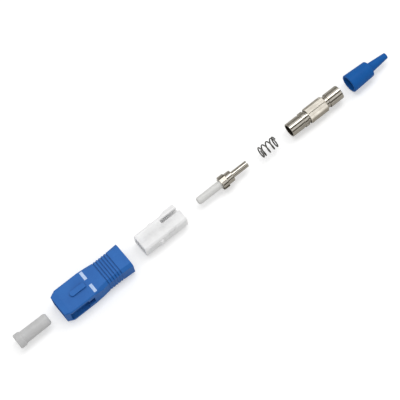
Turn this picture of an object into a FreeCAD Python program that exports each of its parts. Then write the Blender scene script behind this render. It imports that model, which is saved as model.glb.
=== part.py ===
import FreeCAD, Part
import math
import os
import Sketcher

# Push-pull simplex fibre optic connector, taken apart along its own axis.
# X runs from the mating front to the cable end, Z is up on the key side, and the origin is the
# centre of the grip's front face. All lengths are millimetres.

doc = FreeCAD.newDocument("fibre_optic_connector")
sheet = doc.addObject("Spreadsheet::Sheet", "Sizes")

SIZES = {
    # Clear space between neighbours in the taken-apart layout
    "cap_gap": 4.1,
    "frame_gap": 5.7,
    "ferrule_gap": 6.4,
    "spring_gap": 5.3,
    "crimp_gap": 5.4,
    "boot_gap": 4.0,
    # Running clearances, each side
    "slide_clearance": 0.1,
    "flange_clearance": 0.1,
    "barrel_clearance": 0.05,
    "spring_clearance": 0.05,
    "tube_clearance": 0.1,
    "socket_clearance": 0.05,
    "web_clearance": 0.25,
    "cap_fit_clearance": 0.05,
    "cap_barrel_clearance": 0.15,
    "flats_clearance": 0.075,
    # Grip: moulded outer shell
    "grip_length": 25.1,
    "grip_width": 9.0,
    "grip_height": 7.4,
    "grip_edge": 0.3,
    "nose_length": 2.0,
    "nose_inset": 0.9,
    "nose_drop": 0.25,
    "mouth_depth": 4.0,
    "key_start": 4.9,
    "key_length": 5.3,
    "key_width": 1.7,
    "key_rise": 0.6,
    "key_corner": 0.5,
    "window_start": 1.5,
    "window_length": 6.6,
    "window_height": 5.2,
    "window_tail_length": 2.2,
    "window_tail_height": 3.2,
    "square_length": 10.4,
    "waist_start": 13.4,
    "waist_ramp": 2.4,
    "waist_depth": 0.3,
    "waist_edge": 1.0,
    "rib_start": 15.85,
    "rib_pitch": 0.98,
    "rib_count": 6,
    "rib_groove_width": 0.36,
    "rib_groove_depth": 0.3,
    "rib_side_depth": 0.1,
    "rear_block_length": 3.8,
    "rear_inset": 0.1,
    # Plug frame: moulded inner frame
    "frame_length": 15.9,
    "frame_width": 6.2,
    "frame_height": 5.4,
    "frame_edge": 0.6,
    "frame_nose": 0.2,
    "front_bore": 4.4,
    "front_bore_depth": 6.4,
    "web_thickness": 1.0,
    "shoulder_start": 4.8,
    "shoulder_length": 1.8,
    "shoulder_ramp": 1.1,
    "shoulder_reach": 0.5,
    "shoulder_height": 3.2,
    "arm_start": 9.2,
    "arm_length": 6.3,
    "arm_thickness": 1.2,
    "arm_slot": 1.2,
    "arm_height": 3.1,
    "arm_under_slot": 0.5,
    "wing_start": 0.6,
    "wing_ramp": 2.0,
    "wing_reach": 0.65,
    "relief_start": 8.7,
    "relief_length": 2.9,
    "relief_height": 0.5,
    "relief_drop": 0.7,
    "relief_depth": 0.7,
    # Ceramic ferrule
    "ferrule_diameter": 2.5,
    "ferrule_exposed": 9.0,
    "ferrule_press": 2.6,
    "ferrule_seat": 2.0,
    "ferrule_tip": 1.9,
    "ferrule_tip_length": 0.45,
    "fibre_bore": 0.126,
    "funnel_mouth": 0.9,
    "funnel_length": 1.0,
    # Metal ferrule holder
    "flange_diameter": 4.5,
    "flange_length": 2.2,
    "flange_edge": 0.15,
    "notch_count": 4,
    "notch_width": 1.5,
    "notch_depth": 0.5,
    "seat_length": 2.2,
    "seat_inset": 0.05,
    "tube_diameter": 2.1,
    "tube_length": 6.0,
    "tube_bore": 1.0,
    # Coil spring
    "spring_outer": 3.8,
    "spring_wire": 0.42,
    "spring_length": 6.3,
    "spring_end_turns": 1.0,
    "spring_open_turns": 3.0,
    "spring_end_gap": 0.04,
    "spring_wire_sides": 10,
    # Crimp body: turned stop ring, spanner flats and crimp barrel
    "crimp_front_length": 4.4,
    "crimp_front_groove": 0.7,
    "crimp_front_groove_diameter": 4.3,
    "stop_ring_length": 1.4,
    "stop_ring_diameter": 4.95,
    "stop_groove_length": 0.8,
    "stop_groove_diameter": 4.2,
    "flats_count": 8,
    "flats_turn": 12.0,
    "flats_length": 6.9,
    "flats_bevel": 0.3,
    "rear_groove_length": 1.2,
    "rear_groove_diameter": 4.0,
    "crimp_rear_length": 5.0,
    "crimp_rear_diameter": 4.7,
    "crimp_bore_depth": 5.3,
    "crimp_edge": 0.2,
    # Strain relief boot
    "boot_diameter": 6.2,
    "boot_rear_diameter": 5.4,
    "boot_barrel_length": 8.2,
    "boot_edge": 0.25,
    "boot_shoulder": 0.5,
    "boot_socket_depth": 5.4,
    "boot_funnel": 1.6,
    "tail_length": 6.6,
    "tail_root": 3.2,
    "tail_end": 2.0,
    "cable_bore": 1.1,
    # Dust cap
    "cap_length": 11.6,
    "cap_flange_length": 2.0,
    "cap_flange_diameter": 4.85,
    "cap_edge": 0.3,
    "cap_draft": 0.1,
    "cap_rim_edge": 0.4,
    "cap_bore_depth": 9.5,
}

for row, (alias, number) in enumerate(SIZES.items(), start=1):
    sheet.set(f"A{row}", alias)
    sheet.set(f"B{row}", str(number))
    sheet.setAlias(f"B{row}", alias)
doc.recompute()


class Size:
    """A length held both as a number and as the formula that follows the sheet."""

    def __init__(self, formula, value):
        self.formula = formula
        self.value = value

    def __add__(self, other):
        other = as_size(other)
        return Size(f"({self.formula} + {other.formula})", self.value + other.value)

    def __sub__(self, other):
        other = as_size(other)
        return Size(f"({self.formula} - {other.formula})", self.value - other.value)

    def __mul__(self, factor):
        return Size(f"({self.formula} * {factor})", self.value * factor)

    def __truediv__(self, divisor):
        return Size(f"({self.formula} / {divisor})", self.value / divisor)

    def __neg__(self):
        return Size(f"(-{self.formula})", -self.value)


ZERO = Size("0", 0.0)


def as_size(length):
    return length if isinstance(length, Size) else ZERO


def size(alias):
    """The sheet's cell of that name."""
    return Size(f"Sizes.{alias}", float(sheet.get(alias)))


def new_body(label, start):
    """A body whose own origin is the front end of its piece, set along the axis at start."""
    body = doc.addObject("PartDesign::Body", label)
    body.Label = label
    body.setExpression("Placement.Base.x", start.formula)
    return body


def new_sketch(body, plane, name, offset=ZERO):
    """A sketch on one of the body's own planes, moved along that plane's normal by offset."""
    sketch = body.newObject("Sketcher::SketchObject", name)
    support = [feature for feature in body.Origin.OriginFeatures if feature.Role == plane][0]
    sketch.AttachmentSupport = (support, [""])
    sketch.MapMode = "FlatFace"
    if offset is not ZERO:
        sketch.setExpression("AttachmentOffset.Base.z", offset.formula)
    return sketch


def pin(sketch, line, direction, length):
    """Tie the start of a line to its distance from the sketch origin."""
    if length is ZERO:
        axis = -2 if direction == "DistanceX" else -1
        sketch.addConstraint(Sketcher.Constraint("PointOnObject", line, 1, axis))
        return
    index = sketch.addConstraint(Sketcher.Constraint(direction, -1, 1, line, 1, length.value))
    sketch.setExpression(f"Constraints[{index}]", length.formula)


def draw_outline(sketch, corners):
    """A closed outline of straight lines through the given corners."""
    corners = [(as_size(across), as_size(up)) for across, up in corners]
    first = sketch.GeometryCount
    points = [FreeCAD.Vector(across.value, up.value, 0) for across, up in corners]
    count = len(points)
    for i in range(count):
        sketch.addGeometry(Part.LineSegment(points[i], points[(i + 1) % count]), False)
    for i in range(count):
        following = first + (i + 1) % count
        sketch.addConstraint(Sketcher.Constraint("Coincident", first + i, 2, following, 1))
    for i, (across, up) in enumerate(corners):
        pin(sketch, first + i, "DistanceX", across)
        pin(sketch, first + i, "DistanceY", up)


def draw_circle(sketch, radius):
    """A circle about the sketch origin."""
    ring = Part.Circle(FreeCAD.Vector(), FreeCAD.Vector(0, 0, 1), radius.value)
    circle = sketch.addGeometry(ring, False)
    sketch.addConstraint(Sketcher.Constraint("Coincident", circle, 3, -1, 1))
    index = sketch.addConstraint(Sketcher.Constraint("Radius", circle, radius.value))
    sketch.setExpression(f"Constraints[{index}]", radius.formula)


def rectangle(left, right, low, high):
    return [(left, low), (right, low), (right, high), (left, high)]


def ramped_lug(start, end, ramp, root, side, top):
    """Outline of a lug that stands out of a side wall and ramps up from its front."""
    return [(start, root), (end, root), (end, top), (start + ramp, top), (start, side)]


def octagon(half_width, half_height, edge):
    """A rectangle about the axis with its four corners cut at 45 degrees."""
    flat = half_width - edge
    upright = half_height - edge
    return [
        (-flat, -half_height),
        (flat, -half_height),
        (half_width, -upright),
        (half_width, upright),
        (flat, half_height),
        (-flat, half_height),
        (-half_width, upright),
        (-half_width, -upright),
    ]


def turn(body, feature_type, name, profile):
    """Revolve a profile of (along the axis, radius) corners about the axis."""
    sketch = new_sketch(body, "XZ_Plane", name + "_profile")
    draw_outline(sketch, profile)
    feature = body.newObject(feature_type, name)
    feature.Profile = sketch
    feature.ReferenceAxis = (sketch, ["H_Axis"])
    feature.Angle = 360
    return feature


def extrude(body, feature_type, name, sketch, length=None, reversed_way=False, both_ways=False):
    """Pad or pocket a sketch; a cut with no length goes through everything on its side."""
    feature = body.newObject(feature_type, name)
    feature.Profile = sketch
    feature.SideType = "Symmetric" if both_ways else "One side"
    feature.Reversed = reversed_way
    if length is None:
        feature.Type = "ThroughAll"
    else:
        feature.Type = "Length"
        feature.setExpression("Length", length.formula)
    return feature


def repeat_along_axis(body, name, original, pitch, count):
    """Copies of a feature at one pitch along the axis."""
    pattern = body.newObject("PartDesign::LinearPattern", name)
    pattern.Originals = [original]
    axis = [feature for feature in body.Origin.OriginFeatures if feature.Role == "X_Axis"][0]
    pattern.Direction = (axis, [""])
    pattern.setExpression("Occurrences", count.formula)
    pattern.setExpression("Length", f"{pitch.formula} * ({count.formula} - 1)")
    body.Tip = pattern
    return pattern


# Places of the pieces along the axis
grip_length = size("grip_length")
frame_length = size("frame_length")
ferrule_exposed = size("ferrule_exposed")
holder_length = size("flange_length") + size("seat_length") + size("tube_length")
spring_length = size("spring_length")
flats_start = (
    size("crimp_front_length")
    + size("crimp_front_groove")
    + size("stop_ring_length")
    + size("stop_groove_length")
)
flats_end = flats_start + size("flats_length")
crimp_rear_start = flats_end + size("rear_groove_length")
crimp_length = crimp_rear_start + size("crimp_rear_length")

cap_start = -(size("cap_gap") + size("cap_length"))
frame_start = grip_length + size("frame_gap")
ferrule_start = frame_start + frame_length + size("ferrule_gap")
holder_start = ferrule_start + ferrule_exposed
spring_start = holder_start + holder_length + size("spring_gap")
crimp_start = spring_start + spring_length + size("crimp_gap")
boot_start = crimp_start + crimp_length + size("boot_gap")

# Fits shared by pieces that go into each other
frame_width = size("frame_width")
frame_height = size("frame_height")
mouth_width = frame_width + size("slide_clearance") * 2
cavity_height = frame_height + size("slide_clearance") * 2
cavity_width = frame_width + (size("wing_reach") + size("slide_clearance")) * 2
rear_bore = size("flange_diameter") + size("flange_clearance") * 2
crimp_front_diameter = rear_bore - size("barrel_clearance") * 2
crimp_bore = size("spring_outer") + size("spring_clearance") * 2
crimp_through_bore = size("tube_diameter") + size("tube_clearance") * 2
seat_diameter = size("spring_outer") - size("seat_inset") * 2
web_bore = size("ferrule_diameter") + size("web_clearance") * 2
cap_bore = size("ferrule_diameter") + size("cap_fit_clearance") * 2
cap_barrel_diameter = size("front_bore") - size("cap_barrel_clearance") * 2
flats_corners = cavity_height - size("flats_clearance") * 2
boot_socket = size("crimp_rear_diameter") + size("socket_clearance") * 2


def make_grip():
    """Moulded shell: ruled sections from the nose to the flared rear, hollow right through."""
    body = new_body("grip_housing", ZERO)
    half_width = size("grip_width") / 2
    half_height = size("grip_height") / 2
    edge = size("grip_edge")
    nose_half_width = half_width - size("nose_inset")
    nose_half_height = half_height - size("nose_drop")
    waist = size("waist_depth")
    waist_edge = size("waist_edge")
    waist_full = size("waist_start") + size("waist_ramp")
    block_start = grip_length - size("rear_block_length")
    stations = [
        (ZERO, nose_half_width, nose_half_height, edge),
        (size("nose_length"), half_width, half_height, edge),
        (size("square_length"), half_width, half_height, edge),
        (size("waist_start"), half_width, half_height, waist_edge),
        (waist_full, half_width - waist, half_height, waist_edge),
        (block_start, half_width - waist, half_height, waist_edge),
        (grip_length, half_width - size("rear_inset"), half_height, waist_edge),
    ]
    sections = []
    for i, (place, wide, high, cut) in enumerate(stations):
        section = new_sketch(body, "YZ_Plane", f"grip_section_{i}", place)
        draw_outline(section, octagon(wide, high, cut))
        sections.append(section)
    shell = body.newObject("PartDesign::AdditiveLoft", "grip_outer")
    shell.Profile = sections[0]
    shell.Sections = sections[1:]
    shell.Ruled = True

    # Raised key that only lets the plug enter one way up
    key = new_sketch(body, "XY_Plane", "key_outline", half_height)
    key_end = size("key_start") + size("key_length")
    key_half = size("key_width") / 2
    key_flat = key_half - size("key_corner")
    shoulder = size("key_start") + size("key_corner")
    corners = [
        (size("key_start"), -key_flat),
        (shoulder, -key_half),
        (key_end, -key_half),
        (key_end, key_half),
        (shoulder, key_half),
        (size("key_start"), key_flat),
    ]
    draw_outline(key, corners)
    extrude(body, "PartDesign::Pad", "grip_key", key, size("key_rise"))

    # Finger ribs: square grooves that run right round the waist
    groove = new_sketch(body, "YZ_Plane", "rib_groove_ring", size("rib_start"))
    groove_half_width = half_width - waist - size("rib_side_depth")
    groove_half_height = half_height - size("rib_groove_depth")
    draw_outline(groove, octagon(groove_half_width, groove_half_height, waist_edge))
    draw_outline(groove, octagon(half_width + edge, half_height + edge, edge))
    cut = extrude(
        body, "PartDesign::Pocket", "rib_groove", groove, size("rib_groove_width"), reversed_way=True
    )
    repeat_along_axis(body, "rib_grooves", cut, size("rib_pitch"), size("rib_count"))

    # Mouth that guides the frame, and the wider cavity for its latch behind it
    mouth = new_sketch(body, "YZ_Plane", "mouth_section")
    draw_outline(mouth, octagon(mouth_width / 2, cavity_height / 2, size("frame_edge")))
    extrude(body, "PartDesign::Pocket", "grip_mouth", mouth, reversed_way=True)
    cavity = new_sketch(body, "YZ_Plane", "cavity_section", size("mouth_depth"))
    draw_outline(cavity, octagon(cavity_width / 2, cavity_height / 2, size("frame_edge")))
    extrude(body, "PartDesign::Pocket", "grip_cavity", cavity, reversed_way=True)

    # Stepped side windows that let the adapter's hooks reach the frame
    window = new_sketch(body, "XZ_Plane", "window_outline")
    step = size("window_start") + size("window_length")
    end = step + size("window_tail_length")
    tall = size("window_height") / 2
    low = size("window_tail_height") / 2
    corners = [
        (size("window_start"), -tall),
        (step, -tall),
        (step, -low),
        (end, -low),
        (end, low),
        (step, low),
        (step, tall),
        (size("window_start"), tall),
    ]
    draw_outline(window, corners)
    extrude(body, "PartDesign::Pocket", "side_windows", window, size("grip_width") * 2, both_ways=True)
    return body


def make_frame():
    """Moulded frame with a stepped bore, adapter shoulders and one sprung latch arm."""
    body = new_body("plug_frame", frame_start)
    half_width = frame_width / 2
    half_height = frame_height / 2
    edge = size("frame_edge")
    nose = size("frame_nose")
    stations = [
        (ZERO, half_width - nose, half_height - nose),
        (nose, half_width, half_height),
        (frame_length, half_width, half_height),
    ]
    sections = []
    for i, (place, wide, high) in enumerate(stations):
        section = new_sketch(body, "YZ_Plane", f"frame_section_{i}", place)
        draw_outline(section, octagon(wide, high, edge))
        sections.append(section)
    block = body.newObject("PartDesign::AdditiveLoft", "frame_block")
    block.Profile = sections[0]
    block.Sections = sections[1:]
    block.Ruled = True

    # Shoulders that the adapter's hooks snap behind, ramped towards the front
    start = size("shoulder_start")
    top = half_width + size("shoulder_reach")
    end = start + size("shoulder_length")
    shoulder = new_sketch(body, "XY_Plane", "shoulder_outline")
    root = half_width - edge
    ramp = size("shoulder_ramp")
    draw_outline(shoulder, ramped_lug(start, end, ramp, root, half_width, top))
    draw_outline(shoulder, ramped_lug(start, end, ramp, -root, -half_width, -top))
    extrude(body, "PartDesign::Pad", "shoulders", shoulder, size("shoulder_height"), both_ways=True)

    # Wing of the latch arm, ramped out towards its free end
    arm_end = size("arm_start") + size("arm_length")
    arm_low = half_height - size("arm_height")
    wing_start = size("arm_start") + size("wing_start")
    wing_top = half_width + size("wing_reach")
    wing = new_sketch(body, "XY_Plane", "wing_outline", arm_low)
    draw_outline(wing, ramped_lug(wing_start, arm_end, size("wing_ramp"), root, half_width, wing_top))
    extrude(body, "PartDesign::Pad", "latch_wing", wing, size("arm_height") - edge)

    # Stepped bore: ferrule well, web that stops the flange, and the rear bore
    web_end = size("front_bore_depth") + size("web_thickness")
    profile = [
        (ZERO, ZERO),
        (ZERO, size("front_bore") / 2),
        (size("front_bore_depth"), size("front_bore") / 2),
        (size("front_bore_depth"), web_bore / 2),
        (web_end, web_bore / 2),
        (web_end, rear_bore / 2),
        (frame_length, rear_bore / 2),
        (frame_length, ZERO),
    ]
    turn(body, "PartDesign::Groove", "frame_bore", profile)

    # Slots that free the arm along its inside, below it and behind it
    inside = half_width - size("arm_thickness")
    slot = new_sketch(body, "XY_Plane", "arm_slot_outline")
    draw_outline(slot, rectangle(size("arm_start"), frame_length, inside - size("arm_slot"), inside))
    extrude(body, "PartDesign::Pocket", "arm_slot", slot, reversed_way=True)
    under_low = arm_low - size("arm_under_slot")
    under = new_sketch(body, "XZ_Plane", "arm_under_slot_outline")
    draw_outline(under, rectangle(size("arm_start"), frame_length, under_low, arm_low))
    extrude(body, "PartDesign::Pocket", "arm_under_slot", under)
    behind = new_sketch(body, "YZ_Plane", "arm_end_gap", arm_end)
    draw_outline(behind, rectangle(inside - size("arm_slot"), wing_top, under_low, half_height))
    extrude(body, "PartDesign::Pocket", "arm_end_gap_cut", behind, reversed_way=True)

    # Narrow relief along the other upper edge
    relief_high = half_height - size("relief_drop")
    relief = new_sketch(body, "XZ_Plane", "relief_outline", half_width - size("relief_depth"))
    relief_end = size("relief_start") + size("relief_length")
    relief_low = relief_high - size("relief_height")
    draw_outline(relief, rectangle(size("relief_start"), relief_end, relief_low, relief_high))
    extrude(body, "PartDesign::Pocket", "edge_relief", relief, reversed_way=True)
    return body


def make_ferrule():
    """Zirconia ferrule: ground cylinder with a coned tip and a fibre bore that opens in a funnel."""
    body = new_body("ceramic_ferrule", ferrule_start)
    length = ferrule_exposed + size("ferrule_press")
    radius = size("ferrule_diameter") / 2
    bore = size("fibre_bore") / 2
    profile = [
        (ZERO, bore),
        (ZERO, size("ferrule_tip") / 2),
        (size("ferrule_tip_length"), radius),
        (ferrule_exposed, radius),
        (ferrule_exposed, size("ferrule_seat") / 2),
        (length, size("ferrule_seat") / 2),
        (length, size("funnel_mouth") / 2),
        (length - size("funnel_length"), bore),
    ]
    turn(body, "PartDesign::Revolution", "ferrule", profile)
    return body


def make_holder():
    """Turned metal holder: notched flange, spring seat and tube; the ceramic is pressed in."""
    body = new_body("ferrule_holder", holder_start)
    flange = size("flange_length")
    edge = size("flange_edge")
    radius = size("flange_diameter") / 2
    seat_end = flange + size("seat_length")
    press = size("ferrule_press")
    profile = [
        (ZERO, size("ferrule_seat") / 2),
        (ZERO, radius - edge),
        (edge, radius),
        (flange - edge, radius),
        (flange, radius - edge),
        (flange, seat_diameter / 2),
        (seat_end - edge, seat_diameter / 2),
        (seat_end, seat_diameter / 2 - edge),
        (seat_end, size("tube_diameter") / 2),
        (holder_length, size("tube_diameter") / 2),
        (holder_length, size("tube_bore") / 2),
        (press, size("tube_bore") / 2),
        (press, size("ferrule_seat") / 2),
    ]
    turn(body, "PartDesign::Revolution", "holder", profile)

    # Notches that keep the ferrule from turning in the frame
    half_notch = size("notch_width") / 2
    notch = new_sketch(body, "YZ_Plane", "notch_outline")
    draw_outline(notch, rectangle(-half_notch, half_notch, radius - size("notch_depth"), radius + edge))
    cut = extrude(body, "PartDesign::Pocket", "notch", notch, flange, reversed_way=True)
    pattern = body.newObject("PartDesign::PolarPattern", "notches")
    pattern.Originals = [cut]
    axis = [feature for feature in body.Origin.OriginFeatures if feature.Role == "X_Axis"][0]
    pattern.Axis = (axis, [""])
    pattern.Angle = 360
    pattern.setExpression("Occurrences", "Sizes.notch_count")
    body.Tip = pattern
    return body


def make_crimp_body():
    """Turned metal body: front barrel for the frame, stop ring, spanner flats and crimp barrel."""
    body = new_body("crimp_body", crimp_start)
    edge = size("crimp_edge")
    front_end = size("crimp_front_length")
    ring_start = front_end + size("crimp_front_groove")
    ring_end = ring_start + size("stop_ring_length")
    front_radius = crimp_front_diameter / 2
    ring_radius = size("stop_ring_diameter") / 2
    rear_radius = size("crimp_rear_diameter") / 2
    profile = [
        (ZERO, crimp_bore / 2),
        (ZERO, front_radius - edge),
        (edge, front_radius),
        (front_end, front_radius),
        (front_end, size("crimp_front_groove_diameter") / 2),
        (ring_start, size("crimp_front_groove_diameter") / 2),
        (ring_start, ring_radius),
        (ring_end - edge, ring_radius),
        (ring_end, ring_radius - edge),
        (ring_end, size("stop_groove_diameter") / 2),
        (flats_end, size("stop_groove_diameter") / 2),
        (flats_end, size("rear_groove_diameter") / 2),
        (crimp_rear_start, size("rear_groove_diameter") / 2),
        (crimp_rear_start, rear_radius),
        (crimp_length - edge, rear_radius),
        (crimp_length, rear_radius - edge),
        (crimp_length, crimp_through_bore / 2),
        (size("crimp_bore_depth"), crimp_through_bore / 2),
        (size("crimp_bore_depth"), crimp_bore / 2),
    ]
    turn(body, "PartDesign::Revolution", "crimp_turning", profile)

    # Flats for the spanner, with their corners bevelled at both ends
    corner = flats_corners / 2
    count = round(size("flats_count").value)
    corners = []
    for i in range(count):
        turn_angle = math.radians(size("flats_turn").value + 360 / count * i)
        corners.append((corner * -math.sin(turn_angle), corner * math.cos(turn_angle)))
    flats = new_sketch(body, "YZ_Plane", "flats_outline", flats_start)
    draw_outline(flats, corners)
    draw_circle(flats, crimp_through_bore / 2)
    extrude(body, "PartDesign::Pad", "spanner_flats", flats, size("flats_length"))
    bevel = size("flats_bevel")
    front_bevel = [(flats_start, corner - bevel), (flats_start, corner), (flats_start + bevel, corner)]
    rear_bevel = [(flats_end, corner - bevel), (flats_end, corner), (flats_end - bevel, corner)]
    turn(body, "PartDesign::Groove", "flats_front_bevel", front_bevel)
    turn(body, "PartDesign::Groove", "flats_rear_bevel", rear_bevel)
    return body


def make_boot():
    """Moulded boot: barrel over the crimp sleeve, shoulder and a tapered tail for the fibre."""
    body = new_body("strain_relief_boot", boot_start)
    radius = size("boot_diameter") / 2
    edge = size("boot_edge")
    barrel_end = size("boot_barrel_length")
    shoulder_end = barrel_end + size("boot_shoulder")
    length = shoulder_end + size("tail_length")
    socket_end = size("boot_socket_depth")
    bore = size("cable_bore") / 2
    profile = [
        (ZERO, boot_socket / 2),
        (ZERO, radius - edge),
        (edge, radius),
        (barrel_end, size("boot_rear_diameter") / 2),
        (shoulder_end, size("tail_root") / 2),
        (length, size("tail_end") / 2),
        (length, bore),
        (socket_end + size("boot_funnel"), bore),
        (socket_end, boot_socket / 2),
    ]
    turn(body, "PartDesign::Revolution", "boot", profile)
    return body


def make_cap():
    """Moulded dust cap: blind tube with a finger flange at its closed end."""
    body = new_body("dust_cap", cap_start)
    flange_radius = size("cap_flange_diameter") / 2
    edge = size("cap_edge")
    flange_end = size("cap_flange_length")
    length = size("cap_length")
    barrel = cap_barrel_diameter / 2
    rim = barrel - size("cap_draft")
    rim_edge = size("cap_rim_edge")
    bottom = length - size("cap_bore_depth")
    profile = [
        (ZERO, ZERO),
        (ZERO, flange_radius - edge),
        (edge, flange_radius),
        (flange_end - edge, flange_radius),
        (flange_end, flange_radius - edge),
        (flange_end + edge, barrel),
        (length - rim_edge, rim),
        (length, rim - rim_edge),
        (length, cap_bore / 2),
        (bottom, cap_bore / 2),
        (bottom, ZERO),
    ]
    turn(body, "PartDesign::Revolution", "cap", profile)
    return body


def make_spring():
    """Compression spring: tilted half turns of wire, with a closed coil at each end.

    The round wire is drawn with a few flats, which keeps the long thin coil light.
    """
    wire = size("spring_wire").value
    coil = (size("spring_outer").value - wire) / 2
    sides = round(size("spring_wire_sides").value)
    end_halves = round(2 * size("spring_end_turns").value)
    open_halves = round(2 * size("spring_open_turns").value)
    end_rise = (wire + size("spring_end_gap").value) / 2
    open_rise = (spring_length.value - wire - 2 * end_halves * end_rise) / open_halves
    rises = [end_rise] * end_halves + [open_rise] * open_halves + [end_rise] * end_halves
    meeting = math.sqrt(coil ** 2 - (open_rise / 2) ** 2)
    place = wire / 2
    corners = []
    for i in range(sides + 1):
        angle = 2 * math.pi * i / sides
        reach = FreeCAD.Vector(math.cos(angle), 0, math.sin(angle)) * (wire / 2)
        corners.append(FreeCAD.Vector(place, 0, meeting) + reach)
    section = Part.makePolygon(corners)
    skin = [Part.Face(section)]
    for i, rise in enumerate(rises):
        lean = rise / 2 if i % 2 == 0 else -rise / 2
        centre = FreeCAD.Vector(place + rise / 2, 0, 0)
        axis = FreeCAD.Vector(meeting, 0, lean)
        skin.extend(section.revolve(centre, axis, 180).Faces)
        section = section.copy()
        section.rotate(centre, axis, 180)
        place += rise
    skin.append(Part.Face(section))
    shell = Part.makeShell(skin)
    shell.sewShape()
    feature = doc.addObject("Part::Feature", "coil_spring")
    feature.Label = "coil_spring"
    feature.Shape = Part.Solid(shell)
    feature.Placement = FreeCAD.Placement(FreeCAD.Vector(spring_start.value, 0, 0), FreeCAD.Rotation())
    return feature


pieces = [
    make_cap(),
    make_grip(),
    make_frame(),
    make_ferrule(),
    make_holder(),
    make_spring(),
    make_crimp_body(),
    make_boot(),
]
doc.recompute()

for item in doc.Objects:
    if "Invalid" in item.State or "Error" in item.State:
        raise RuntimeError(f"{item.Name} did not build: {item.State}")
for piece in pieces:
    if piece.Shape.isNull() or not piece.Shape.isValid() or len(piece.Shape.Solids) != 1:
        raise RuntimeError(f"{piece.Label} is not one sound solid")

os.makedirs("parts", exist_ok=True)
for piece in pieces:
    piece.Shape.exportStep(f"parts/{piece.Label}.step")
    print(piece.Label, round(piece.Shape.Volume, 2))
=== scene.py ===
import math

import bmesh
import bpy
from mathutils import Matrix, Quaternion, Vector


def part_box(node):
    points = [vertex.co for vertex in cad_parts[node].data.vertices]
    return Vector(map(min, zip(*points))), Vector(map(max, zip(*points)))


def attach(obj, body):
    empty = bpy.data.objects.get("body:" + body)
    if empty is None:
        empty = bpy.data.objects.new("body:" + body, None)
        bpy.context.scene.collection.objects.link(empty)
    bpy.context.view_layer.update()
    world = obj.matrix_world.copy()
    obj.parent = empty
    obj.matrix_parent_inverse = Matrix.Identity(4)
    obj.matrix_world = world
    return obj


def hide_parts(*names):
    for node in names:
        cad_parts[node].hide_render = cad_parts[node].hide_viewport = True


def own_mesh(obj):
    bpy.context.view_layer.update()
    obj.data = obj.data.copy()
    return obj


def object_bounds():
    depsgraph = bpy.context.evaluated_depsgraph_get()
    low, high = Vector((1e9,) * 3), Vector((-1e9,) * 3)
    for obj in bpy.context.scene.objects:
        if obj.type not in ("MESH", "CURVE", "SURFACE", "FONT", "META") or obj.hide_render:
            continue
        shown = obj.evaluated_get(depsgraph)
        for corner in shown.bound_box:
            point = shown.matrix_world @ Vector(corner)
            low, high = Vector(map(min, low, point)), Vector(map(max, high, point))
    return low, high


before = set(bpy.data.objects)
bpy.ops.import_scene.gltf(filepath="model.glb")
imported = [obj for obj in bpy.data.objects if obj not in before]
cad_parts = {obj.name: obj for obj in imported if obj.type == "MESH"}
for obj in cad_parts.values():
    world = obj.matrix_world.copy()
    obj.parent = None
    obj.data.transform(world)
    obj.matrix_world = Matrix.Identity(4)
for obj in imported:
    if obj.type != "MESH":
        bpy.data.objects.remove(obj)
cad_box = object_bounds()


# Ceramic ferrule: the white pin that carries the fibre and lines it up in the adapter.
# Zirconia, sintered and ground to size, with a coned tip and a fine bore that opens in a funnel.
# It is pressed into the metal holder behind it.
MM = 0.001


def add_node(tree, kind, inputs=None, **settings):
    """Add a node with its settings; each input is a constant or another node's output."""
    node = tree.nodes.new(kind)
    for setting, value in settings.items():
        setattr(node, setting, value)
    for socket, value in (inputs or {}).items():
        if isinstance(value, bpy.types.NodeSocket):
            tree.links.new(value, node.inputs[socket])
        else:
            node.inputs[socket].default_value = value
    return node


def linear(code):
    """An sRGB hex colour as the linear RGBA that a shader takes."""
    parts = [int(code[i : i + 2], 16) / 255 for i in (1, 3, 5)]
    return tuple(c / 12.92 if c <= 0.04045 else ((c + 0.055) / 1.055) ** 2.4 for c in parts) + (1.0,)


def new_material(name):
    """A material with an empty tree, and that tree."""
    material = bpy.data.materials.new(name)
    material.use_nodes = True
    material.node_tree.nodes.clear()
    return material, material.node_tree


# The places of a colour mix's share, its two colours and its result among the node's sockets.
MIX_SHARE, MIX_FIRST, MIX_SECOND = 0, 6, 7
MIX_RESULT = 2
# Most of a noise texture's values lie between these two.
NOISE_LOW, NOISE_HIGH = 0.35, 0.65


def speckled_colour(tree, light, dark, patch_mm, share):
    """The piece's own coordinates, and a colour that drifts between two shades in soft patches."""
    place = add_node(tree, "ShaderNodeTexCoord").outputs["Object"]
    drift = add_node(
        tree, "ShaderNodeTexNoise", {"Vector": place, "Scale": 1 / (patch_mm * MM), "Detail": 3.0}
    )
    spread = add_node(
        tree,
        "ShaderNodeMapRange",
        {"Value": drift.outputs["Fac"], "From Min": NOISE_LOW, "From Max": NOISE_HIGH, "To Max": share},
    )
    colour = add_node(
        tree,
        "ShaderNodeMix",
        {MIX_SHARE: spread.outputs["Result"], MIX_FIRST: linear(light), MIX_SECOND: linear(dark)},
        data_type="RGBA",
    )
    return place, colour.outputs[MIX_RESULT]


def new_piece(name, shape):
    """An object in the scene from a finished shape, which is freed."""
    mesh = bpy.data.meshes.new(name)
    shape.to_mesh(mesh)
    shape.free()
    piece = bpy.data.objects.new(name, mesh)
    bpy.context.scene.collection.objects.link(piece)
    return piece


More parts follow.
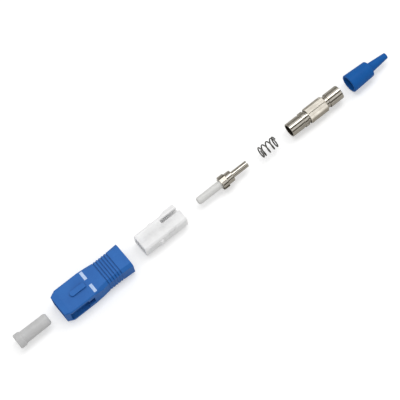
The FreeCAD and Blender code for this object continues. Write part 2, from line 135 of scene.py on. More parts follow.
def turned(name, outline, sides=96, steps=4, most_of_edge=0.45, merge_mm=0.0001, sharp_degrees=40):
    """Spin a closed outline about the connector's axis.

    Each corner is (place along X, radius, rounding) in millimetres, and a rounding takes no more than
    a share of either edge beside it.
    """
    count = len(outline)
    points = []
    for i, (along, radius, rounding) in enumerate(outline):
        corner = Vector((along, radius))
        before = Vector(outline[i - 1][:2]) - corner
        after = Vector(outline[(i + 1) % count][:2]) - corner
        if rounding == 0:
            points.append(corner)
            continue
        cut = min(rounding, most_of_edge * before.length, most_of_edge * after.length)
        start = corner + before.normalized() * cut
        end = corner + after.normalized() * cut
        for step in range(steps + 1):
            s = step / steps
            points.append(start * (1 - s) ** 2 + corner * 2 * s * (1 - s) + end * s**2)
    shape = bmesh.new()
    rings = []
    for point in points:
        ring = []
        for k in range(sides):
            angle = 2 * math.pi * k / sides
            across = point.y * math.sin(angle)
            up = point.y * math.cos(angle)
            ring.append(shape.verts.new(Vector((point.x, across, up)) * MM))
        rings.append(ring)
    for i, ring in enumerate(rings):
        following = rings[(i + 1) % len(rings)]
        for k in range(sides):
            beside = (k + 1) % sides
            shape.faces.new((ring[k], ring[beside], following[beside], following[k]))
    bmesh.ops.remove_doubles(shape, verts=shape.verts, dist=merge_mm * MM)
    loose = [edge for edge in shape.edges if not edge.link_faces]
    bmesh.ops.delete(shape, geom=loose, context="EDGES")
    bmesh.ops.recalc_face_normals(shape, faces=shape.faces)
    piece = new_piece(name, shape)
    piece.data.shade_smooth()
    piece.data.set_sharp_from_angle(angle=math.radians(sharp_degrees))
    return piece


def start_and_end(node):
    """Where a node begins and ends along the axis, in millimetres."""
    low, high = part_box(node)
    return low.x / MM, high.x / MM


ferrule_start, ferrule_end = start_and_end("ceramic_ferrule")
holder_start, holder_end = start_and_end("ferrule_holder")
ferrule_radius = 1.25
ferrule_seat_radius = 1.0
ferrule_tip_radius = 0.95
ferrule_tip_length = 0.45
ferrule_tip_rounding = 0.25
ferrule_cone_rounding = 0.3
ferrule_rear_rounding = 0.1
fibre_bore_radius = 0.063
funnel_radius = 0.45
funnel_length = 1.0
ferrule = turned(
    "zirconia_ferrule",
    [
        (ferrule_start, fibre_bore_radius, 0),
        (ferrule_start, ferrule_tip_radius, ferrule_tip_rounding),
        (ferrule_start + ferrule_tip_length, ferrule_radius, ferrule_cone_rounding),
        (holder_start, ferrule_radius, 0),
        (holder_start, ferrule_seat_radius, 0),
        (ferrule_end, ferrule_seat_radius, ferrule_rear_rounding),
        (ferrule_end, funnel_radius, 0),
        (ferrule_end - funnel_length, fibre_bore_radius, 0),
    ],
)
# Ground zirconia: dense white ceramic with a soft sheen and a faint depth.
# The marks of grinding are finer than this on the real one; they are drawn as wide as they need to show.
grinding_mark = 0.12
zirconia_light_depth = 0.6
zirconia, tree = new_material("ground_zirconia")
place, colour = speckled_colour(tree, "#D8D8D6", "#CCCCC9", patch_mm=1.2, share=0.5)
grind = add_node(
    tree, "ShaderNodeTexNoise", {"Vector": place, "Scale": 1 / (grinding_mark * MM), "Detail": 2.0}
)
sheen_range = add_node(
    tree, "ShaderNodeMapRange", {"Value": grind.outputs["Fac"], "To Min": 0.38, "To Max": 0.5}
)
skin = add_node(
    tree,
    "ShaderNodeBsdfPrincipled",
    {
        "Base Color": colour,
        "Roughness": sheen_range.outputs["Result"],
        "IOR": 2.1,
        "Specular IOR Level": 0.25,
        "Subsurface Weight": 0.3,
        "Subsurface Radius": (1.0, 1.0, 1.0),
        "Subsurface Scale": zirconia_light_depth * MM,
    },
)
add_node(tree, "ShaderNodeOutputMaterial", {"Surface": skin.outputs["BSDF"]})
ferrule.data.materials.append(zirconia)
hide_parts("ceramic_ferrule")
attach(ferrule, "ferrule")


# Ferrule holder: the metal collar that the ceramic is pressed into, with a tube for the coated fibre.
# Brass, turned on a lathe, four notches milled in its flange, then nickel plated.
# The spring bears on the shoulder behind the flange.
def settle(piece):
    """Turn a piece with its modifiers into a plain mesh."""
    evaluated = piece.evaluated_get(bpy.context.evaluated_depsgraph_get())
    mesh = bpy.data.meshes.new_from_object(evaluated)
    piece.modifiers.clear()
    piece.data = mesh


def add_boolean(piece, tool, work, materials="INDEX"):
    """Shape a piece by another mesh; with TRANSFER the faces that it makes keep its own material."""
    modifier = piece.modifiers.new(work.lower(), "BOOLEAN")
    modifier.object = tool
    modifier.operation = work
    modifier.solver = "EXACT"
    modifier.material_mode = materials


def boxes(name, corners):
    """One mesh of boxes, each given by its lowest and highest corner in millimetres and a turn about X."""
    shape = bmesh.new()
    for low, high, turn in corners:
        low, high = Vector(low), Vector(high)
        made = bmesh.ops.create_cube(shape, size=1.0)["verts"]
        for vert in made:
            x, y, z = ((low[i] + high[i]) / 2 + vert.co[i] * (high[i] - low[i]) for i in range(3))
            across = y * math.cos(turn) - z * math.sin(turn)
            up = y * math.sin(turn) + z * math.cos(turn)
            vert.co = Vector((x, across, up)) * MM
    return new_piece(name, shape)


flange_radius = 2.25
flange_length = 2.2
flange_rounding = 0.18
shoulder_radius = 1.85
shoulder_length = 2.2
shoulder_end = holder_start + flange_length + shoulder_length
shoulder_corner = 0.05
tube_radius = 1.05
tube_bore_radius = 0.5
tube_root_rounding = 0.1
tube_end_rounding = 0.08
holder = turned(
    "ferrule_holder_turning",
    [
        (holder_start, ferrule_seat_radius, 0),
        (holder_start, flange_radius, flange_rounding),
        (holder_start + flange_length, flange_radius, flange_rounding),
        (holder_start + flange_length, shoulder_radius, shoulder_corner),
        (shoulder_end, shoulder_radius, flange_rounding),
        (shoulder_end, tube_radius, tube_root_rounding),
        (holder_end, tube_radius, tube_end_rounding),
        (holder_end, tube_bore_radius, tube_end_rounding),
        (ferrule_end, tube_bore_radius, 0),
        (ferrule_end, ferrule_seat_radius, 0),
    ],
)
notch_count = 4
notch_width = 1.5
notch_depth = 0.5
cutter_margin = 0.5
notches = boxes(
    "flange_notches",
    [
        (
            (holder_start - cutter_margin, -notch_width / 2, flange_radius - notch_depth),
            (holder_start + flange_length, notch_width / 2, flange_radius + cutter_margin),
            math.radians(360 / notch_count * i),
        )
        for i in range(notch_count)
    ],
)
add_boolean(holder, notches, "DIFFERENCE")
settle(holder)
bpy.data.objects.remove(notches)


def plated_nickel(name, light, dark, roughness, mark_mm, run):
    """Bright nickel over brass: cloudy plating, a warm grey tint and the fine marks of the tool.

    The marks are stretched by run, a factor for each axis: rings on a turned face, lines on a drawn one.
    Real ones are finer; they are drawn as wide as they need to be seen.
    """
    mark_depth_mm = 0.01
    polish_spread = 0.3
    material, tree = new_material(name)
    place, colour = speckled_colour(tree, light, dark, patch_mm=1.5, share=0.5)
    along = add_node(tree, "ShaderNodeVectorMath", {0: place, 1: run}, operation="MULTIPLY")
    marks = add_node(
        tree,
        "ShaderNodeTexNoise",
        {"Vector": along.outputs["Vector"], "Scale": 1 / (mark_mm * MM), "Detail": 2.0},
    )
    streaks = add_node(
        tree,
        "ShaderNodeMapRange",
        {"Value": marks.outputs["Fac"], "From Min": NOISE_LOW, "From Max": NOISE_HIGH, "To Max": 0.5},
    )
    streaked = add_node(
        tree,
        "ShaderNodeMix",
        {MIX_SHARE: streaks.outputs["Result"], MIX_FIRST: colour, MIX_SECOND: linear(dark)},
        data_type="RGBA",
    )
    polish = add_node(
        tree,
        "ShaderNodeMapRange",
        {
            "Value": marks.outputs["Fac"],
            "To Min": roughness * (1 - polish_spread),
            "To Max": roughness * (1 + polish_spread),
        },
    )
    relief = add_node(
        tree,
        "ShaderNodeBump",
        {"Height": marks.outputs["Fac"], "Strength": 0.15, "Distance": mark_depth_mm * MM},
    )
    skin = add_node(
        tree,
        "ShaderNodeBsdfPrincipled",
        {
            "Base Color": streaked.outputs[MIX_RESULT],
            "Metallic": 1.0,
            "Roughness": polish.outputs["Result"],
            "Normal": relief.outputs["Normal"],
        },
    )
    add_node(tree, "ShaderNodeOutputMaterial", {"Surface": skin.outputs["BSDF"]})
    return material


# The turned faces are bright, with fine rings round the axis.
round_the_axis = (1.0, 0.03, 0.03)
nickel = plated_nickel(
    "nickel_plated_turned_brass", "#C4BFB5", "#ABA69D", roughness=0.09, mark_mm=0.25, run=round_the_axis
)
holder.data.materials.append(nickel)
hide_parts("ferrule_holder")
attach(holder, "ferrule")


# Coil spring: pushes the ferrule forwards against the fibre that it meets.
# Stainless spring wire, drawn and coiled right-handed, with one closed turn at each end.
# It sits between the holder's shoulder and the bottom of the crimp body's bore.
spring_start, spring_end = start_and_end("coil_spring")
spring_outer = 3.8
spring_wire = 0.42
spring_end_turns = 1.0
spring_open_turns = 3.0
spring_end_rise = 0.46
points_per_turn = 48
total_points = round((2 * spring_end_turns + spring_open_turns) * points_per_turn) + 1
wire_sides = 14
coil = bpy.data.node_groups.new("coil_from_wire", "GeometryNodeTree")
coil.interface.new_socket("Geometry", in_out="OUTPUT", socket_type="NodeSocketGeometry")
coil_sizes = {
    "Start": (spring_start + spring_wire / 2) * MM,
    "Coil Radius": (spring_outer - spring_wire) / 2 * MM,
    "Wire Radius": spring_wire / 2 * MM,
    "End Turns": spring_end_turns,
    "Open Turns": spring_open_turns,
    "End Rise": spring_end_turns * spring_end_rise * MM,
    "Open Rise": (spring_end - spring_start - spring_wire - 2 * spring_end_turns * spring_end_rise) * MM,
}
sockets = {
    size: coil.interface.new_socket(size, in_out="INPUT", socket_type="NodeSocketFloat")
    for size in coil_sizes
}
given = add_node(coil, "NodeGroupInput").outputs
index = add_node(coil, "GeometryNodeInputIndex").outputs["Index"]
turns = add_node(coil, "ShaderNodeMath", {0: index, 1: points_per_turn}, operation="DIVIDE").outputs[0]
angle = add_node(coil, "ShaderNodeMath", {0: turns, 1: 2 * math.pi}, operation="MULTIPLY").outputs[0]
open_end = add_node(coil, "ShaderNodeMath", {0: given["End Turns"], 1: given["Open Turns"]}).outputs[0]
last_turn = add_node(coil, "ShaderNodeMath", {0: open_end, 1: given["End Turns"]}).outputs[0]
along = given["Start"]
for first, last, rise in (
    (0.0, given["End Turns"], given["End Rise"]),
    (given["End Turns"], open_end, given["Open Rise"]),
    (open_end, last_turn, given["End Rise"]),
):
    climb = add_node(
        coil, "ShaderNodeMapRange", {"Value": turns, "From Min": first, "From Max": last, "To Max": rise}
    )
    along = add_node(coil, "ShaderNodeMath", {0: along, 1: climb.outputs["Result"]}).outputs[0]
sine = add_node(coil, "ShaderNodeMath", {0: angle}, operation="SINE").outputs[0]
cosine = add_node(coil, "ShaderNodeMath", {0: angle}, operation="COSINE").outputs[0]
radius = given["Coil Radius"]
reach = add_node(coil, "ShaderNodeMath", {0: radius, 1: -1.0}, operation="MULTIPLY").outputs[0]
across = add_node(coil, "ShaderNodeMath", {0: sine, 1: reach}, operation="MULTIPLY").outputs[0]
up = add_node(coil, "ShaderNodeMath", {0: cosine, 1: radius}, operation="MULTIPLY").outputs[0]
spot = add_node(coil, "ShaderNodeCombineXYZ", {"X": along, "Y": across, "Z": up}).outputs["Vector"]
line = add_node(coil, "GeometryNodeCurvePrimitiveLine").outputs["Curve"]
line = add_node(coil, "GeometryNodeResampleCurve", {"Curve": line, "Count": total_points}).outputs["Curve"]
helix = add_node(coil, "GeometryNodeSetPosition", {"Geometry": line, "Position": spot})
section = add_node(
    coil, "GeometryNodeCurvePrimitiveCircle", {"Resolution": wire_sides, "Radius": given["Wire Radius"]}
)
wire = add_node(
    coil,
    "GeometryNodeCurveToMesh",
    {"Curve": helix.outputs["Geometry"], "Profile Curve": section.outputs["Curve"], "Fill Caps": True},
)
smooth = add_node(coil, "GeometryNodeSetShadeSmooth", {"Geometry": wire.outputs["Mesh"]})
solid = add_node(coil, "GeometryNodeRealizeInstances", {"Geometry": smooth.outputs["Geometry"]})

# Drawn stainless wire: grey, a little uneven, with a dull shine.
# The marks of the die are finer than this on the real one; they are drawn as wide as they need to show.
die_mark = 0.1
spring_steel, tree = new_material("drawn_stainless_spring_wire")
place, colour = speckled_colour(tree, "#6E6D6A", "#55544F", patch_mm=0.6, share=0.7)
streak = add_node(
    tree, "ShaderNodeTexNoise", {"Vector": place, "Scale": 1 / (die_mark * MM), "Detail": 4.0}
)
dullness = add_node(
    tree, "ShaderNodeMapRange", {"Value": streak.outputs["Fac"], "To Min": 0.24, "To Max": 0.4}
)
skin = add_node(
    tree,
    "ShaderNodeBsdfPrincipled",
    {"Base Color": colour, "Metallic": 1.0, "Roughness": dullness.outputs["Result"]},
)
add_node(tree, "ShaderNodeOutputMaterial", {"Surface": skin.outputs["BSDF"]})

coated = add_node(
    coil, "GeometryNodeSetMaterial", {"Geometry": solid.outputs["Geometry"], "Material": spring_steel}
)
add_node(coil, "NodeGroupOutput", {"Geometry": coated.outputs["Geometry"]})
spring = new_piece("coil_spring_wire", bmesh.new())
winding = spring.modifiers.new("winding", "NODES")
winding.node_group = coil
for size, socket in sockets.items():
    winding[socket.identifier] = coil_sizes[size]
settle(spring)
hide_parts("coil_spring")
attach(spring, "spring")
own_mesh(spring)


# Crimp body: the metal core that holds the spring in the frame and carries the boot behind.
# Eight-sided brass bar, turned at both ends, bored through, then nickel plated.
# Its stop ring seats on the rear face of the inner frame.
def flats_bar(name, start, end, corner_radius, count, turn_degrees, chamfer):
    """A prism of equal flats along the axis, turned about it from a corner on top, in millimetres."""
    shape = bmesh.new()
    rings = []
    for along in (start, end):
        ring = []
        for k in range(count):
            turn = math.radians(turn_degrees + 360 / count * k)
            spot = Vector((along, -corner_radius * math.sin(turn), corner_radius * math.cos(turn)))
            ring.append(shape.verts.new(spot * MM))
        rings.append(ring)
        shape.faces.new(ring)
    for k in range(count):
        beside = (k + 1) % count
        shape.faces.new((rings[0][k], rings[0][beside], rings[1][beside], rings[1][k]))
    bmesh.ops.recalc_face_normals(shape, faces=shape.faces)
    corners = [edge for edge in shape.edges if edge.verts[0].co.x != edge.verts[1].co.x]
    bmesh.ops.bevel(shape, geom=corners, offset=chamfer * MM, segments=1, affect="EDGES")
    return new_piece(name, shape)


crimp_start, crimp_end = start_and_end("crimp_body")
crimp_front_radius = 2.3
crimp_front_length = 4.4
crimp_bore_radius = 1.95
crimp_through_radius = 1.15
crimp_bore_depth = 5.3
crimp_bore_end = crimp_start + crimp_bore_depth
front_groove_start = crimp_start + crimp_front_length
front_groove_radius = 2.15
front_groove_length = 0.7
stop_ring_start = front_groove_start + front_groove_length
stop_ring_length = 1.4
stop_ring_end = stop_ring_start + stop_ring_length
stop_ring_radius = 2.475
stop_groove_radius = 2.1
stop_groove_length = 0.8
flats_start = stop_ring_end + stop_groove_length
flats_length = 6.9
flats_end = flats_start + flats_length
flats_corner_radius = 2.725
flats_bevel = 0.3
flats_count = 8
flats_turn = 12.0
flats_chamfer = 0.2
rear_groove_radius = 2.0
rear_groove_length = 1.2
rear_barrel_start = flats_end + rear_groove_length
rear_barrel_radius = 2.35
front_mouth_rounding = 0.08
front_edge_rounding = 0.12
groove_corner = 0.05
neck_corner = 0.08
rear_edge_rounding = 0.15
rear_end_rounding = 0.2
rear_mouth_rounding = 0.1
crimp_body = flats_bar(
    "crimp_body_turning",
    flats_start,
    flats_end,
    flats_corner_radius,
    flats_count,
    flats_turn,
    flats_chamfer,
)
# The flats are the drawn bar's own faces: paler and more satin, with fine lines along it.
along_the_bar = (0.04, 1.0, 1.0)
satin_nickel = plated_nickel(
    "nickel_plated_drawn_brass", "#FAF4E8", "#C6BFB2", roughness=0.14, mark_mm=0.6, run=along_the_bar
)
crimp_body.data.materials.append(satin_nickel)
gauge_margin = 0.1
bevel_end_radius = flats_corner_radius - flats_bevel - gauge_margin
bevel_gauge = turned(
    "bevel_gauge",
    [
        (flats_start - gauge_margin, 0, 0),
        (flats_start - gauge_margin, bevel_end_radius, 0),
        (flats_start + flats_bevel, flats_corner_radius, 0),
        (flats_end - flats_bevel, flats_corner_radius, 0),
        (flats_end + gauge_margin, bevel_end_radius, 0),
        (flats_end + gauge_margin, 0, 0),
    ],
    sides=192,
)
turned_ends = turned(
    "crimp_body_ends",
    [
        (crimp_start, crimp_bore_radius, front_mouth_rounding),
        (crimp_start, crimp_front_radius, front_edge_rounding),
        (front_groove_start, crimp_front_radius, front_edge_rounding),
        (front_groove_start, front_groove_radius, groove_corner),
        (stop_ring_start, front_groove_radius, groove_corner),
        (stop_ring_start, stop_ring_radius, front_edge_rounding),
        (stop_ring_end, stop_ring_radius, front_edge_rounding),
        (stop_ring_end, stop_groove_radius, neck_corner),
        (flats_end, stop_groove_radius, 0),
        (flats_end, rear_groove_radius, groove_corner),
        (rear_barrel_start, rear_groove_radius, neck_corner),
        (rear_barrel_start, rear_barrel_radius, rear_edge_rounding),
        (crimp_end, rear_barrel_radius, rear_end_rounding),
        (crimp_end, crimp_through_radius, rear_mouth_rounding),
        (crimp_bore_end, crimp_through_radius, groove_corner),
        (crimp_bore_end, crimp_bore_radius, groove_corner),
    ],
)
bore_gauge = turned(
    "bore_gauge",
    [
        (flats_start - cutter_margin, 0, 0),
        (flats_start - cutter_margin, crimp_through_radius, 0),
        (flats_end + cutter_margin, crimp_through_radius, 0),
        (flats_end + cutter_margin, 0, 0),
    ],
)
for tool, work, finish in (
    (bevel_gauge, "INTERSECT", satin_nickel),
    (turned_ends, "UNION", nickel),
    (bore_gauge, "DIFFERENCE", nickel),
):
    tool.data.materials.append(finish)
    add_boolean(crimp_body, tool, work, materials="TRANSFER")
settle(crimp_body)
for tool in (bevel_gauge, turned_ends, bore_gauge):
    bpy.data.objects.remove(tool)
# Down in the bore the plating is thin and dull; its colour is darker still as painted shade.
shaded_bore_nickel = plated_nickel(
    "thinly_plated_and_shaded_bore_brass", "#575046", "#423C34", roughness=0.3, mark_mm=0.3, run=round_the_axis
)
crimp_body.data.materials.append(shaded_bore_nickel)
bore_tolerance = 0.01
# Faces inside the bore take the dark bore colour, partly dull plating and partly painted shade.
for face in crimp_body.data.polygons:
    in_bore = math.hypot(face.center.y, face.center.z) < (crimp_bore_radius + bore_tolerance) * MM
    if in_bore and face.center.x < (crimp_end - rear_mouth_rounding) * MM:
        face.material_index = crimp_body.data.materials.find(shaded_bore_nickel.name)
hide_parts("crimp_body")
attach(crimp_body, "crimp")


# Inner frame: the moulded block that carries the ferrule and snaps into the adapter.
# Glass-filled polyester, injection moulded in white, with one sprung latch arm.
# It slides into the grip from behind and its arm snaps into the grip's side.
def moulded_copy(node, name, edge_mm, merge_mm=0.002, flat_degrees=1, edge_degrees=28, sharp_degrees=12):
    """A copy of a moulded node with its triangles joined into faces and its sharp edges broken."""
    shape = bmesh.new()
    shape.from_mesh(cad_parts[node].data)
    bmesh.ops.remove_doubles(shape, verts=shape.verts, dist=merge_mm * MM)
    bmesh.ops.dissolve_limit(
        shape,
        angle_limit=math.radians(flat_degrees),
        verts=shape.verts,
        edges=shape.edges,
        use_dissolve_boundaries=False,
    )
    piece = new_piece(name, shape)
    bevel = piece.modifiers.new("edges", "BEVEL")
    bevel.width = edge_mm * MM
    bevel.segments = 1
    bevel.limit_method = "ANGLE"
    bevel.angle_limit = math.radians(edge_degrees)
    bevel.loop_slide = False
    settle(piece)
    piece.data.shade_smooth()
    piece.data.set_sharp_from_angle(angle=math.radians(sharp_degrees))
    return piece


def moulded_plastic(
    name, light, dark, roughness, shine, grain_mm, depth, glow=0.0, glow_mm=0.1, painted_shade_mm=None
):
    """Injection-moulded plastic: even colour with faint flow clouds and a fine spark-eroded grain.

    The real grain is finer; it is drawn as coarse as it needs to show.
    Glow is the share of light that goes in, and how deep. With a painted-shade size, grooves and hollows
    of about that depth get painted shade: an occlusion darkening mixed into the colour.
    """
    painted_shade_share = 0.4
    satin_spread = 0.08
    grain_depth_mm = 0.02
    material, tree = new_material(name)
    place, colour = speckled_colour(tree, light, dark, patch_mm=4.0, share=0.6)
    # Painted shade: the colour is darkened where grooves and hollows hide the piece from the room.
    if painted_shade_mm:
        recess = add_node(
            tree,
            "ShaderNodeAmbientOcclusion",
            {"Color": colour, "Distance": painted_shade_mm * MM},
            only_local=True,
            samples=8,
        )
        shaded = add_node(
            tree,
            "ShaderNodeMix",
            {MIX_SHARE: painted_shade_share, MIX_FIRST: colour, MIX_SECOND: recess.outputs["Color"]},
            data_type="RGBA",
        )
        colour = shaded.outputs[MIX_RESULT]
    grain = add_node(
        tree, "ShaderNodeTexNoise", {"Vector": place, "Scale": 1 / (grain_mm * MM), "Detail": 2.0}
    )
    satin = add_node(
        tree,
        "ShaderNodeMapRange",
        {
            "Value": grain.outputs["Fac"],
            "To Min": roughness - satin_spread,
            "To Max": roughness + satin_spread,
        },
    )
    relief = add_node(
        tree,
        "ShaderNodeBump",
        {"Height": grain.outputs["Fac"], "Strength": depth, "Distance": grain_depth_mm * MM},
    )
    skin = add_node(
        tree,
        "ShaderNodeBsdfPrincipled",
        {
            "Base Color": colour,
            "Roughness": satin.outputs["Result"],
            "IOR": 1.5,
            "Specular IOR Level": shine,
            "Normal": relief.outputs["Normal"],
            "Subsurface Weight": glow,
            "Subsurface Radius": (1.0, 1.0, 1.0),
            "Subsurface Scale": glow_mm * MM,
        },
    )
    add_node(tree, "ShaderNodeOutputMaterial", {"Surface": skin.outputs["BSDF"]})
    return material


broken_edge = 0.05
inner_frame = moulded_copy("plug_frame", "inner_frame_moulding", edge_mm=broken_edge)
# White polyester: a soft even white, into which light goes a little way.
white_polyester = moulded_plastic(
    "moulded_white_polyester",
    "#EFEFEF",
    "#E6E6E6",
    roughness=0.42,
    shine=0.3,
    grain_mm=0.2,
    depth=0.2,
    glow=1.0,
    glow_mm=1.5,
)
inner_frame.data.materials.append(white_polyester)
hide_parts("plug_frame")
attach(inner_frame, "frame")


# Grip: the outer shell that the fingers push and pull, with a key on top and windows in its sides.
# Polyester, injection moulded in blue, ribbed at the waist so that it doesn't slip.
# It floats on the inner frame; two white bars are printed on top as a mark of the seated depth.
grip = moulded_copy("grip_housing", "grip_moulding", edge_mm=broken_edge)
# Blue polyester: a satin mid blue, with painted shade that darkens it between the ribs and in the windows.
blue_polyester = moulded_plastic(
    "moulded_blue_polyester",
    "#2B69B4",
    "#2660AA",
    roughness=0.42,
    shine=0.16,
    grain_mm=0.25,
    depth=0.25,
    painted_shade_mm=3.0,
)
grip.data.materials.append(blue_polyester)
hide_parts("grip_housing")
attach(grip, "grip")

grip_top = 3.7
mark_middle = 11.5
mark_length = 1.0
mark_inner = 1.0
mark_outer = 3.9
mark_start = mark_middle - mark_length / 2
mark_end = mark_middle + mark_length / 2
ink_thickness = 0.015
marks = boxes(
    "printed_marks",
    [
        ((mark_start, low, grip_top - ink_thickness), (mark_end, high, grip_top + ink_thickness), 0.0)
        for low, high in ((-mark_outer, -mark_inner), (mark_inner, mark_outer))
    ],
)
# Pad-printed ink: a thin pale film that lets a little of the blue show through.
ink, tree = new_material("pad_printed_white_ink")
_, colour = speckled_colour(tree, "#BCD0EE", "#9DB9E4", patch_mm=0.5, share=0.8)
skin = add_node(tree, "ShaderNodeBsdfPrincipled", {"Base Color": colour, "Roughness": 0.55})
add_node(tree, "ShaderNodeOutputMaterial", {"Surface": skin.outputs["BSDF"]})
marks.data.materials.append(ink)
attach(marks, "grip")


# Strain relief boot: keeps the fibre from bending sharply where it leaves the crimp.
# Thermoplastic elastomer, injection moulded in blue, with a plain tapered tail.
# It is pushed over the crimp barrel from behind.
boot_start, boot_end = start_and_end("strain_relief_boot")
boot_radius = 3.1
boot_rear_radius = 2.7
boot_socket_radius = 2.4
boot_socket_depth = 5.4
boot_socket_end = boot_start + boot_socket_depth
boot_funnel_length = 1.6
boot_barrel_length = 8.2
boot_barrel_end = boot_start + boot_barrel_length
boot_shoulder_length = 0.5
tail_root_radius = 1.6
tail_end_radius = 1.0
cable_bore_radius = 0.55
boot_mouth_rounding = 0.12
boot_rim_rounding = 0.3
boot_shoulder_rounding = 0.4
tail_root_rounding = 0.3
tail_end_rounding = 0.2
tail_mouth_rounding = 0.1
boot_funnel_rounding = 0.2
boot = turned(
    "strain_relief_boot_moulding",
    [
        (boot_start, boot_socket_radius, boot_mouth_rounding),
        (boot_start, boot_radius, boot_rim_rounding),
        (boot_barrel_end, boot_rear_radius, boot_shoulder_rounding),
        (boot_barrel_end + boot_shoulder_length, tail_root_radius, tail_root_rounding),
        (boot_end, tail_end_radius, tail_end_rounding),
        (boot_end, cable_bore_radius, tail_mouth_rounding),
        (boot_socket_end + boot_funnel_length, cable_bore_radius, boot_funnel_rounding),
        (boot_socket_end, boot_socket_radius, boot_funnel_rounding),
    ],
)
# Blue elastomer: softer and more matt than the grip, and a deeper blue.
blue_elastomer = moulded_plastic(
    "moulded_blue_elastomer",
    "#0F5AA4",
    "#0B5199",
    roughness=0.55,
    shine=0.15,
    grain_mm=0.25,
    depth=0.3,
)
boot.data.materials.append(blue_elastomer)
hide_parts("strain_relief_boot")
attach(boot, "boot")


# Dust cap: keeps dirt off the ferrule's end until the connector is plugged in.
# Low-density polyethylene, injection moulded without pigment, so that it is cloudy and lets light in.
# It is pushed over the ferrule inside the frame and pulled off by its flange.
cap_start, cap_end = start_and_end("dust_cap")
cap_flange_radius = 2.425
cap_flange_length = 2.0
cap_flange_end = cap_start + cap_flange_length
cap_neck_length = 0.3
cap_barrel_radius = 2.05
cap_rim_radius = 1.95
cap_lead_in = 0.55
cap_lead_in_radius = 1.55
cap_bore_radius = 1.3
cap_bore_depth = 9.5
cap_bore_bottom = cap_end - cap_bore_depth
cap_flange_rounding = 0.4
cap_neck_rounding = 0.2
cap_rim_rounding = 0.3
cap_lead_in_rounding = 0.1
cap_mouth_rounding = 0.05
cap_bore_corner = 0.2
cap = turned(
    "dust_cap_moulding",
    [
        (cap_start, 0, 0),
        (cap_start, cap_flange_radius, cap_flange_rounding),
        (cap_flange_end, cap_flange_radius, cap_flange_rounding),
        (cap_flange_end + cap_neck_length, cap_barrel_radius, cap_neck_rounding),
        (cap_end - cap_lead_in, cap_rim_radius, cap_rim_rounding),
        (cap_end, cap_lead_in_radius, cap_lead_in_rounding),
        (cap_end, cap_bore_radius, cap_mouth_rounding),
        (cap_bore_bottom, cap_bore_radius, cap_bore_corner),
        (cap_bore_bottom, 0, 0),
    ],
)
# Natural polyethylene: a waxy, cloudy grey.
cloudy_polyethylene = moulded_plastic(
    "moulded_natural_polyethylene",
    "#C6C6C6",
    "#BCBCBC",
    roughness=0.5,
    shine=0.5,
    grain_mm=0.3,
    depth=0.15,
    glow=0.4,
    glow_mm=0.8,
)
cap.data.materials.append(cloudy_polyethylene)
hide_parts("dust_cap")
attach(cap, "cap")


# Floor: a pale sheet under the parts that keeps their soft shadow.
# White card; a little of its white is its own, so that the sheet is seen as white.
# It lies just under the grip, which is the lowest piece.
def seen_directly(tree):
    """One for what the camera sees by itself or in something shiny or clear, else nought."""
    ray = add_node(tree, "ShaderNodeLightPath").outputs
    direct = add_node(tree, "ShaderNodeMath", {0: ray["Is Camera Ray"], 1: ray["Is Glossy Ray"]})
    direct = add_node(
        tree, "ShaderNodeMath", {0: direct.outputs[0], 1: ray["Is Transmission Ray"]}, use_clamp=True
    )
    return direct.outputs[0]


def flat_sheet(name, left, right, near_edge, far_edge, material):
    """A sheet of the stage with its ends along X and two long edges at (y, z), in millimetres."""
    corners = [(left, *near_edge), (right, *near_edge), (right, *far_edge), (left, *far_edge)]
    mesh = bpy.data.meshes.new(name)
    mesh.from_pydata([Vector(corner) * MM for corner in corners], [], [(0, 1, 2, 3)])
    mesh.materials.append(material)
    sheet = bpy.data.objects.new(name, mesh)
    bpy.context.scene.collection.objects.link(sheet)
    return sheet


own_white = 0.36
white_card, tree = new_material("white_card")
own_light = add_node(tree, "ShaderNodeMath", {0: seen_directly(tree), 1: own_white}, operation="MULTIPLY")
skin = add_node(
    tree,
    "ShaderNodeBsdfPrincipled",
    {
        "Base Color": linear("#E0E0E0"),
        "Roughness": 0.9,
        "Specular IOR Level": 0.0,
        "Emission Color": linear("#FFFFFF"),
        "Emission Strength": own_light.outputs[0],
    },
)
add_node(tree, "ShaderNodeOutputMaterial", {"Surface": skin.outputs["BSDF"]})
lowest = cad_box[0].z / MM
floor_gap = 0.02
floor_reach = 3000.0
flat_sheet(
    "floor",
    -floor_reach,
    floor_reach,
    (-floor_reach, lowest - floor_gap),
    (floor_reach, lowest - floor_gap),
    white_card,
)


# Light: an even white room with one large soft lamp overhead.
# Five grey cards are seen only in what shines, so that the metal has edges to show: one behind the row,
# one overhead, one before it, one below it and a darker one on that, under the flats of the crimp body.
room_light = 0.68
room_white = 1.0
world = bpy.data.worlds.new("white_room")
bpy.context.scene.world = world
world.use_nodes = True
tree = world.node_tree
tree.nodes.clear()
room_level = add_node(
    tree, "ShaderNodeMapRange", {"Value": seen_directly(tree), "To Min": room_light, "To Max": room_white}
)
room = add_node(
    tree, "ShaderNodeBackground", {"Color": linear("#FFFFFF"), "Strength": room_level.outputs["Result"]}
)
add_node(tree, "ShaderNodeOutputWorld", {"Surface": room.outputs["Background"]})

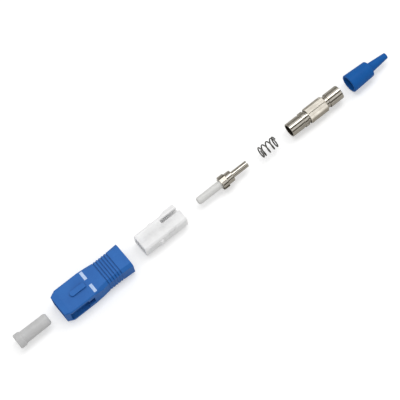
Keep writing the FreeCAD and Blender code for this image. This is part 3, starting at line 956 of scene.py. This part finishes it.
# The camera looks slantwise along the row, so the card under the flats is set a little towards the boot.
slant_shift = 1.0
card_margin = 0.5
card_step = 0.005
whole_row = (-600.0, 600.0)
under_flats = (flats_start + slant_shift - card_margin, flats_end + slant_shift + card_margin)
below = lowest - 2 * card_step
just_below = lowest - card_step
for name, grey, (left, right), near_edge, far_edge in (
    ("card_behind", "#BCBAB5", whole_row, (300.0, 10.0), (219.0, 205.0)),
    ("card_overhead", "#96938C", whole_row, (-10.0, 380.0), (-172.5, 338.6)),
    ("card_before", "#88847C", whole_row, (-168.0, 109.0), (-199.0, 21.0)),
    ("card_below", "#C8C6C2", whole_row, (-400.0, below), (400.0, below)),
    ("card_under_flats", "#A09D98", under_flats, (-20.0, just_below), (20.0, just_below)),
):
    grey_card, tree = new_material("matt_grey_card")
    shade = add_node(tree, "ShaderNodeBsdfDiffuse", {"Color": linear(grey)})
    add_node(tree, "ShaderNodeOutputMaterial", {"Surface": shade.outputs["BSDF"]})
    card = flat_sheet(name, left, right, near_edge, far_edge, grey_card)
    card.visible_camera = False
    card.visible_diffuse = False
    card.visible_shadow = False
    card.visible_transmission = False

lamp_data = bpy.data.lights.new("overhead_softbox", "AREA")
lamp_data.shape = "RECTANGLE"
lamp_data.size = 0.6
lamp_data.size_y = 0.2
lamp_data.energy = 1.35
lamp = bpy.data.objects.new("overhead_softbox", lamp_data)
lamp.location = Vector((150.0, 90.0, 555.0)) * MM
bpy.context.scene.collection.objects.link(lamp)


# Camera: looks down on the row of parts from the front left, square to the cap and slantwise to the boot.
# Its lens is long, so that the far boot is drawn at nearly the scale of the near cap.
camera_data = bpy.data.cameras.new("camera")
camera_data.type = "PERSP"
camera_data.lens = 128.3
camera_data.sensor_width = 36
camera = bpy.data.objects.new("camera", camera_data)
camera_from_axis = 427.0
camera_lean = math.radians(19.2)
camera_along = -25.0
camera_roll = math.radians(-10.3)
camera_aim = Vector((54.0, 0.0, 0.0)) * MM
camera.location = MM * Vector(
    (camera_along, -camera_from_axis * math.sin(camera_lean), camera_from_axis * math.cos(camera_lean))
)
facing = (camera_aim - camera.location).to_track_quat("-Z", "Y")
camera.rotation_euler = (facing @ Quaternion((0, 0, 1), camera_roll)).to_euler()
bpy.context.scene.collection.objects.link(camera)
bpy.context.scene.camera = camera
bpy.context.scene.view_settings.view_transform = "Standard"
